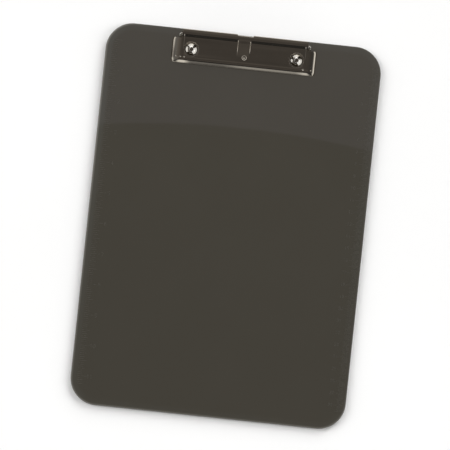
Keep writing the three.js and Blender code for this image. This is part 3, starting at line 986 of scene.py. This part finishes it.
springs = []
for side, name, node in ((-1, "spring_coil_left", "torsion_spring_left"), (1, "spring_coil_right", "torsion_spring_right")):
    ob, xa, xb = build_spring(side, name)
    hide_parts(node)
    springs.append((ob, side, xa, xb))


# ------------------------------------------------------------------ hanger
def build_hanger():
    z0 = H_LO.z / MM
    z1 = z0 + 0.8
    back, front = down_of(H_HI.y), down_of(H_LO.y)
    w, tail = 5.0, H_HI.x / MM
    n = 64
    eye = 6.4
    # one strip that widens into a block at its end away from the board's top edge; the eye is cut through the strip
    # below
    parts = []
    rear = rounded_path([(-w, eye - 4.2), (-w, back), (w, back), (w, eye - 4.2)], [0, 1.9, 1.9, 0], 8)
    ring, hole = [], []
    body = rounded_path(
        [(-w, back), (w, back), (w, 22.3), (tail, 22.3), (tail, front), (-tail, front), (-tail, 22.3), (-w, 22.3)],
        [1.9, 1.9, 0.5, 0.6, 0.7, 0.7, 0.6, 0.5],
        8,
    )
    verts, faces = prism(body, z0, z1, lambda u, v, q: (u * MM, yd(v), q * MM))
    parts.append((verts, faces))
    ob = join_parts("hanger_strip", parts)
    v, f = lathe([(0, (z0 - 1) * MM), (2.8 * MM, (z0 - 1) * MM), (2.8 * MM, (z1 + 1) * MM), (0, (z1 + 1) * MM)], n, lambda x, y, z: (x, yd(eye) + y, z))
    cutter = outward(new_object("eye_cutter", v, f))
    m = ob.modifiers.new("cut", "BOOLEAN")
    m.operation, m.object, m.solver = "DIFFERENCE", cutter, "EXACT"
    bpy.context.view_layer.update()
    dg = bpy.context.evaluated_depsgraph_get()
    me = bpy.data.meshes.new_from_object(ob.evaluated_get(dg), depsgraph=dg)
    ob.modifiers.clear()
    ob.data = me
    bpy.data.objects.remove(cutter)
    # turned-up finger lip, bent on a small radius
    lip_top = H_HI.z / MM
    prof = [(back + 1.7, z0), (back + 1.7, z1)]
    for i in range(7):
        a = math.pi / 2 * i / 6
        prof.append((back + 0.8 + 0.45 * (1 - math.sin(a)), z1 + 0.45 * (1 - math.cos(a))))
    prof += [(back + 0.8, lip_top - 0.2), (back + 0.62, lip_top), (back + 0.18, lip_top), (back, lip_top - 0.2)]
    for i in range(7):
        a = math.pi / 2 * i / 6
        prof.append((back + 0.7 * (1 - math.cos(a)), z0 + 0.7 * (1 - math.sin(a))))
    parts = [prism(prof, -3.3, 3.3, lambda u, v, q: (q * MM, yd(u), v * MM))]
    lip = join_parts("lip", parts)
    bm = bmesh.new()
    bm.from_mesh(ob.data)
    bm.from_mesh(lip.data)
    bm.to_mesh(ob.data)
    bm.free()
    bpy.data.objects.remove(lip)
    ob.data.polygons.foreach_set("use_smooth", [True] * len(ob.data.polygons))
    bevel(ob, 0.1 * MM, 2, 40)
    weighted(ob)
    return ob


hanger = build_hanger()
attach(hanger, "hanger")
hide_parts("hanger")


# ------------------------------------------------------------------ materials
def smoke_plastic():
    """Dark smoke moulding: gloss skin, faint flow clouds and dust-fine scuffs, with painted light round the edge: a
    painted highlight where the edge rounds off, brightest on the left and bottom sides, and a painted paler band just
    inside it, stronger on the left side; the plastic is also painted slightly darker towards the bottom.
    """
    mat, k, bsdf, coord = material("smoke_plastic")
    sep = k.add("ShaderNodeSeparateXYZ")
    k.put(sep.inputs[0], coord)
    x, y = sep.outputs[0], sep.outputs[1]
    dx = k.math("SUBTRACT", k.math("ABSOLUTE", x), (BW / 2 - CORNER) * MM)
    dy = k.math("SUBTRACT", k.math("ABSOLUTE", y), (BL / 2 - CORNER) * MM)
    px, py = k.math("MAXIMUM", dx, 0.0), k.math("MAXIMUM", dy, 0.0)
    far = k.math("SQRT", k.math("ADD", k.math("MULTIPLY", px, px), k.math("MULTIPLY", py, py)))
    near = k.math("MINIMUM", k.math("MAXIMUM", dx, dy), 0.0)
    d = k.math("SUBTRACT", k.math("ADD", far, near), CORNER * MM)  # negative inside
    # painted light: a paler band between 3.5 and 7 mm inside the edge
    band = k.ramp(d, BAND_IN * MM, BAND_OUT * MM)
    # painted highlight on the rounded edge, strongest along the left and bottom sides
    lit = k.math("ADD", k.math("MULTIPLY", k.ramp(x, -0.075, -0.112), 0.75), k.ramp(y, -0.120, -0.156), clamp=True)
    rim = k.math("MULTIPLY", k.ramp(d, -2.1 * MM, -0.5 * MM), k.math("ADD", 0.08, k.math("MULTIPLY", lit, 0.78)))
    cloud = k.noise(coord, 16.0, 4.0, 0.55)
    flow = k.noise(k.mapped(coord, (9, 26, 26)), 1.0, 3.0, 0.6)
    grain = k.noise(coord, 3200.0, 2.0, 0.6)
    a = k.mix(k.ramp(cloud, 0.36, 0.66), SMOKE_A, SMOKE_B)
    a = k.mix(k.math("MULTIPLY", k.ramp(flow, 0.4, 0.7), 0.35), a, SMOKE_C)
    # the painted light band is mixed in more strongly on the left side
    left = k.math("MULTIPLY", k.ramp(x, -0.098, -0.108), 0.42)
    a = k.mix(k.math("MULTIPLY", band, k.math("ADD", BAND_MIX, left)), a, SMOKE_EDGE_GLOW)
    # the painted edge highlight goes over the rest
    a = k.mix(rim, a, SMOKE_RIM_HIGHLIGHT)
    # the plastic is painted slightly darker towards the bottom
    a = k.mix(k.math("MULTIPLY", k.ramp(y, 0.10, -0.155), 0.5), a, tuple(c * 0.93 for c in SMOKE_A))
    k.put(bsdf.inputs["Base Color"], a)
    bsdf.inputs["IOR"].default_value = 1.5
    scuff = k.ramp(k.noise(k.mapped(coord, (260, 900, 900), (0, 0, 0.5)), 1.0, 4.0, 0.7), 0.62, 0.80)
    r = k.math("ADD", 0.016, k.math("MULTIPLY", k.ramp(cloud, 0.3, 0.7), 0.008))
    r = k.math("ADD", r, k.math("MULTIPLY", scuff, 0.02))
    k.put(bsdf.inputs["Roughness"], r)
    n = k.bump(grain, 0.12e-6, 1.0)
    k.put(bsdf.inputs["Normal"], n)
    return mat


SMOKE_A = (0.0508, 0.0463, 0.0368)
SMOKE_B = (0.0523, 0.0478, 0.0382)
SMOKE_C = (0.0512, 0.0470, 0.0372)
# painted light: colour of the paler band inside the edge
SMOKE_EDGE_GLOW = (0.0660, 0.0640, 0.0550)
# painted highlight: colour of the rounded edge where it catches the light
SMOKE_RIM_HIGHLIGHT = (0.192, 0.186, 0.168)
BAND_IN, BAND_OUT, BAND_MIX = -7.0, -3.5, 0.30


def ruler_plastic():
    """The moulded marks: the same smoke plastic, scuffed paler on their raised tops."""
    mat, k, bsdf, coord = material("ruler_plastic")
    wear = k.noise(coord, 420.0, 3.0, 0.6)
    grain = k.noise(coord, 3000.0, 2.0, 0.6)
    k.put(bsdf.inputs["Base Color"], k.mix(k.ramp(wear, 0.35, 0.65), (0.066, 0.062, 0.052), (0.078, 0.074, 0.063)))
    k.put(bsdf.inputs["Roughness"], k.math("ADD", 0.22, k.math("MULTIPLY", k.ramp(wear, 0.3, 0.7), 0.15)))
    k.put(bsdf.inputs["Normal"], k.bump(grain, 0.3e-6, 1.0))
    return mat


def lip_painted_shade(mat):
    """Painted shade on the plating: its colour is darkened along the front lip, most on its left half, and down the
    left side, dimming the reflections there, and the lip's outermost edge is painted dark where it meets the board.
    """
    k = Nodes(mat.node_tree)
    bsdf = next(n for n in mat.node_tree.nodes if n.type == "BSDF_PRINCIPLED")
    sep = k.add("ShaderNodeSeparateXYZ")
    k.put(sep.inputs[0], k.add("ShaderNodeTexCoord").outputs["Object"])
    x, y = sep.outputs[0], sep.outputs[1]
    curve = k.add("ShaderNodeValToRGB")
    curve.color_ramp.interpolation = "EASE"
    els = curve.color_ramp.elements
    stops = [(-0.060, 0.0), (-0.049, 0.05), (-0.043, 0.58), (-0.018, 0.58), (-0.004, 0.48), (0.026, 0.46), (0.044, 0.50), (0.052, 0.30), (0.060, 0.20)]
    els[0].position, els[0].color = 0.0, (stops[0][1],) * 3 + (1,)
    els[1].position, els[1].color = 1.0, (stops[-1][1],) * 3 + (1,)
    for at, v in stops[1:-1]:
        els.new((at + 0.06) / 0.12).color = (v, v, v, 1)
    k.put(curve.inputs[0], k.ramp(x, -0.06, 0.06, smooth=False))
    # painted shade along the front lip, its strength along x set by the curve above
    front = k.math("MULTIPLY", curve.outputs[0], k.ramp(y, yd(25.2), yd(26.4)))
    # painted shade down the left side, growing towards the front and stopping before the lip
    left = k.math("MULTIPLY", k.math("MULTIPLY", k.ramp(x, -0.0565, -0.0575), k.ramp(y, yd(10.5), yd(21.0))), k.ramp(y, yd(25.5), yd(24.0)))
    old = bsdf.inputs["Base Color"].links[0].from_socket
    lip_shaded = k.mix(k.math("MULTIPLY", left, 0.85), old, (0.24, 0.21, 0.18))
    lip_shaded = k.mix(k.math("MULTIPLY", front, 0.9), lip_shaded, (0.22, 0.20, 0.175))
    # painted shade: the lip's outermost edge, where it meets the board, is painted dark
    k.put(bsdf.inputs["Base Color"], k.mix(k.math("MULTIPLY", k.ramp(y, yd(28.15), yd(28.4)), 0.8), lip_shaded, (0.12, 0.108, 0.095)))


plastic = smoke_plastic()
nickel = metal("warm_nickel", (0.64, 0.588, 0.512), (0.60, 0.550, 0.478), 0.070, 0.04, (70, 1500, 1500), 0.18e-6)
# painted shade on the clip's plating along its front lip and left side
lip_painted_shade(nickel)
nickel_in = metal("inner_nickel", (0.60, 0.56, 0.50), (0.52, 0.48, 0.42), 0.16, 0.08, (1500, 70, 1500), 0.3e-6)
bright = metal("rivet_plate", (0.80, 0.78, 0.74), (0.72, 0.70, 0.66), 0.05, 0.05, (900, 900, 900), 0.15e-6, 0.15)
pin_steel = metal("pin_plate", (0.70, 0.68, 0.64), (0.62, 0.60, 0.56), 0.10, 0.06, (60, 1800, 1800), 0.25e-6)
wire = metal("spring_wire", (0.52, 0.51, 0.50), (0.40, 0.39, 0.38), 0.20, 0.10, (1200, 1200, 1200), 0.35e-6, 0.4)


def dress(ob, mat):
    ob.data.materials.clear()
    ob.data.materials.append(mat)


dress(board, plastic)
dress(ruler, ruler_plastic())
dress(clip, nickel)
dress(base, nickel_in)
dress(hanger, nickel_in)
dress(pin, pin_steel)
for r in rivets:
    dress(r, bright)
for ob, side, xa, xb in springs:
    dress(ob, wire)
    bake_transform(ob)

# ------------------------------------------------------------------ studio
scene = bpy.context.scene
scene.view_settings.view_transform = "Standard"
scene.view_settings.look = "None"

floor = new_object("floor", [(-9, -9, -0.0001), (9, -9, -0.0001), (9, 9, -0.0001), (-9, 9, -0.0001)], [(0, 1, 2, 3)], False)
mat, k, bsdf, coord = material("pale_floor")
k.put(bsdf.inputs["Base Color"], k.mix(k.ramp(k.noise(coord, 3.0, 2.0), 0.4, 0.6), (0.80, 0.80, 0.80), (0.81, 0.81, 0.81)))
bsdf.inputs["Roughness"].default_value = 1.0
bsdf.inputs["Specular IOR Level"].default_value = 0.0
dress(floor, mat)

floor_set = bpy.data.collections.new("floor_light_set")
floor_set.objects.link(floor)
object_set = bpy.data.collections.new("object_light_set")
for o in [board, ruler, clip, base, pin, hanger, *rivets, *[s[0] for s in springs]]:
    object_set.objects.link(o)
board_set = bpy.data.collections.new("board_light_set")
board_set.objects.link(board)


rivet_set = bpy.data.collections.new("rivet_light_set")
for o in rivets:
    rivet_set.objects.link(o)
FLOOR_LAMPS = [
    ("lamp0", 90, 88, 50, 0.4859),
    ("lamp2", 90, 15, 12, 0.8509),
    ("lamp4", 60, 20, 14, 2.419),
    ("lamp8", 30, 38, 18, 0.0216),
    ("lamp9", 150, 38, 18, 0.6266),
    ("lamp11", 150, 20, 14, 0.8449),
    ("lamp12", 5, 15, 12, 1.1691),
    ("lamp13", 5, 26, 14, 0.7984),
    ("lamp14", 175, 15, 12, 0.5937),
    ("lamp15", 175, 26, 14, 0.7395),
]
OBJECT_TOP = 3.12
RIVET_LAMPS = [
    (97, 60, 14, 0.85), (90, 46, 11, 0.85), (118, 47, 9, 0.8),
    (-38, 60, 14, 0.85), (-34, 45, 11, 0.85), (-12, 46, 11, 0.85), (8, 60, 13, 0.85), (14, 45, 10, 0.8),
    (172, 47, 8, 0.8), (190, 48, 9, 0.8), (208, 44, 7, 0.7),
    (-92, 39, 3, 0.6),
]


def sun(name, azimuth, elevation, half, energy, receivers, shadows=None, gloss=False):
    data = bpy.data.lights.new(name, "SUN")
    data.energy = energy
    data.angle = math.radians(2 * half)
    ob = bpy.data.objects.new(name, data)
    a, e = math.radians(azimuth), math.radians(elevation)
    towards = Vector((math.cos(a) * math.cos(e), math.sin(a) * math.cos(e), math.sin(e)))
    ob.rotation_mode = "QUATERNION"
    ob.rotation_quaternion = towards.to_track_quat("Z", "Y")
    ob.location = towards * 2.0
    scene.collection.objects.link(ob)
    ob.visible_glossy = gloss
    ob.light_linking.receiver_collection = receivers
    if shadows is not None:
        ob.light_linking.blocker_collection = shadows
    return ob


for label, azimuth, elevation, half, energy in FLOOR_LAMPS:
    sun("floor_" + label, azimuth, elevation, half, energy, floor_set)
sun("object_top", 100, 72, 40, OBJECT_TOP, object_set, board_set)
for i, (azimuth, elevation, half, glow) in enumerate(RIVET_LAMPS):
    sun(f"rivet_lamp_{i}", azimuth, elevation, half, glow * math.pi * math.tan(math.radians(half)) ** 2, rivet_set, rivet_set, True)


SKY = [
    ("x", -1, [(90, 0.061), (80, 0.074), (72, 0.092), (66, 0.112), (60, 0.135), (50, 0.16), (38, 0.155), (28, 0.19), (20, 0.38), (12, 0.74), (0, 0.72)]),
    ("x", 1, [(90, 0.061), (78, 0.070), (66, 0.068), (54, 0.058), (45, 0.054), (32, 0.055), (24, 0.15), (17, 0.58), (10, 1.05), (0, 1.05)]),
    ("y", -1, [(90, 0.061), (87, 0.076), (83, 0.106), (79, 0.088), (72, 0.070), (65, 0.066), (56, 0.036), (46, 0.026), (36, 0.026), (29, 0.22), (22, 0.98), (6, 0.98), (0, 0.60)]),
    ("y", 1, [(90, 0.061), (87, 0.073), (83, 0.096), (77, 0.122), (60, 0.13), (45, 0.08), (20, 0.10), (8, 0.60), (0, 0.60)]),
]


def world():
    w = bpy.data.worlds.new("studio")
    scene.world = w
    w.use_nodes = True
    w.node_tree.nodes.clear()
    k = Nodes(w.node_tree)
    out = k.add("ShaderNodeOutputWorld")
    back = k.add("ShaderNodeBackground")
    k.links.new(back.outputs[0], out.inputs[0])
    sep = k.add("ShaderNodeSeparateXYZ")
    k.put(sep.inputs[0], k.add("ShaderNodeTexCoord").outputs["Generated"])
    x, y, z = sep.outputs
    flat = k.math("ADD", k.math("ADD", k.math("MULTIPLY", x, x), k.math("MULTIPLY", y, y)), 1e-9)
    total = None
    # each side of the studio has its own brightness by elevation; their shares add up to one all the way round
    for axis, sign, levels in SKY:
        side = k.math("MAXIMUM", k.math("MULTIPLY", x if axis == "x" else y, sign), 0.0)
        share = k.math("DIVIDE", k.math("MULTIPLY", side, side), flat)
        ramp = k.add("ShaderNodeValToRGB")
        ramp.color_ramp.interpolation = "LINEAR"
        stops = sorted((math.sin(math.radians(e)), v) for e, v in levels)
        els = ramp.color_ramp.elements
        els[0].position, els[1].position = stops[0][0], stops[-1][0]
        els[0].color = (stops[0][1] / 2,) * 3 + (1,)
        els[1].color = (stops[-1][1] / 2,) * 3 + (1,)
        for pos, v in stops[1:-1]:
            els.new(pos).color = (v / 2,) * 3 + (1,)
        k.put(ramp.inputs[0], z)
        part = k.math("MULTIPLY", k.math("MULTIPLY", share, ramp.outputs[0]), 2.0)
        total = part if total is None else k.math("ADD", total, part)
    k.put(back.inputs["Color"], k.mix(k.ramp(z, math.sin(math.radians(38)), math.sin(math.radians(66))), (1.0, 0.992, 0.962), (1.0, 0.912, 0.835)))
    k.put(back.inputs["Strength"], total)
    return w


world()

# a card over the far half of the board: its curved near edge is the arch in the plastic's gloss
CAM_HIGH = 3.0
CARD_Z = 1.5
card_scale = 1 + (CARD_Z - BOARD_TOP) / CAM_HIGH
arch = []
R = 0.764 * card_scale
apex = yd(77.2) * card_scale
cx = 0.004 * card_scale
for i in range(61):
    a = math.radians(90 + 14 * (1 - 2 * i / 60))
    arch.append((cx + R * math.cos(a), apex - R + R * math.sin(a)))
verts = [(x, y, CARD_Z) for x, y in arch] + [(x, 0.42, CARD_Z) for x, y in arch]
n = len(arch)
card = new_object("gloss_card", verts, [(i, i + 1, n + i + 1, n + i) for i in range(n - 1)], False)
mat = bpy.data.materials.new("card_light")
mat.use_nodes = True
mat.node_tree.nodes.clear()
k = Nodes(mat.node_tree)
out = k.add("ShaderNodeOutputMaterial")
em = k.add("ShaderNodeEmission")
em.inputs["Color"].default_value = (0.200, 0.187, 0.230, 1)
em.inputs["Strength"].default_value = 1.0
clear = k.add("ShaderNodeBsdfTransparent")
both = k.add("ShaderNodeAddShader")
k.links.new(em.outputs[0], both.inputs[0])
k.links.new(clear.outputs[0], both.inputs[1])
k.links.new(both.outputs[0], out.inputs[0])
dress(card, mat)
card.visible_camera = card.visible_diffuse = card.visible_shadow = card.visible_transmission = card.visible_volume_scatter = False
card.light_linking.receiver_collection = board_set

# small reflectors round each rivet, seen only in the rivets' own gloss
mat = bpy.data.materials.new("rivet_card_light")
mat.use_nodes = True
mat.node_tree.nodes.clear()
k = Nodes(mat.node_tree)
out = k.add("ShaderNodeOutputMaterial")
em = k.add("ShaderNodeEmission")
em.inputs["Color"].default_value = (1.0, 0.985, 0.95, 1)
em.inputs["Strength"].default_value = 0.80
clear = k.add("ShaderNodeBsdfTransparent")
both = k.add("ShaderNodeAddShader")
k.links.new(em.outputs[0], both.inputs[0])
k.links.new(clear.outputs[0], both.inputs[1])
k.links.new(both.outputs[0], out.inputs[0])
verts, faces = [], []
for side, sectors in ((-1, [(66, 134, 0.2), (-62, 30, 0.0), (150, 216, 1.2)]), (1, [(70, 138, 0.2), (-64, 22, 0.0), (166, 204, 1.8)])):
    for a0, a1, trim in sectors:
        steps = 14
        row = []
        for i in range(steps + 1):
            f = i / steps
            a = math.radians(a0 + (a1 - a0) * f)
            swell = math.sin(math.pi * f) ** 0.5
            x, y = side * RIVET_X + 5.7 * math.cos(a), 5.7 * math.sin(a)
            row.append(len(verts))
            verts.append((x * MM, yd(RIVET_DOWN) + y * MM, (5.9 - 0.7 * swell) * MM))
            verts.append((x * MM, yd(RIVET_DOWN) + y * MM, (7.6 - 0.5 * trim + 2.0 * swell) * MM))
        for p, q in zip(row, row[1:]):
            faces.append([p, q, q + 1, p + 1])
cards = new_object("rivet_cards", verts, faces, False)
dress(cards, mat)
cards.visible_camera = cards.visible_diffuse = cards.visible_shadow = cards.visible_transmission = cards.visible_volume_scatter = False
cards.light_linking.receiver_collection = rivet_set

# ------------------------------------------------------------------ camera
cam_data = bpy.data.cameras.new("camera")
cam_data.type = "PERSP"
cam_data.sensor_width = 36.0
cam_data.lens = 36.0 * CAM_HIGH / 0.3719
cam_data.clip_start, cam_data.clip_end = 0.1, 60.0
cam = bpy.data.objects.new("camera", cam_data)
cam.location = (-0.000642, 0.000805, BOARD_TOP + CAM_HIGH)
cam.rotation_euler = (0, 0, math.radians(6.07))
scene.collection.objects.link(cam)
scene.camera = cam
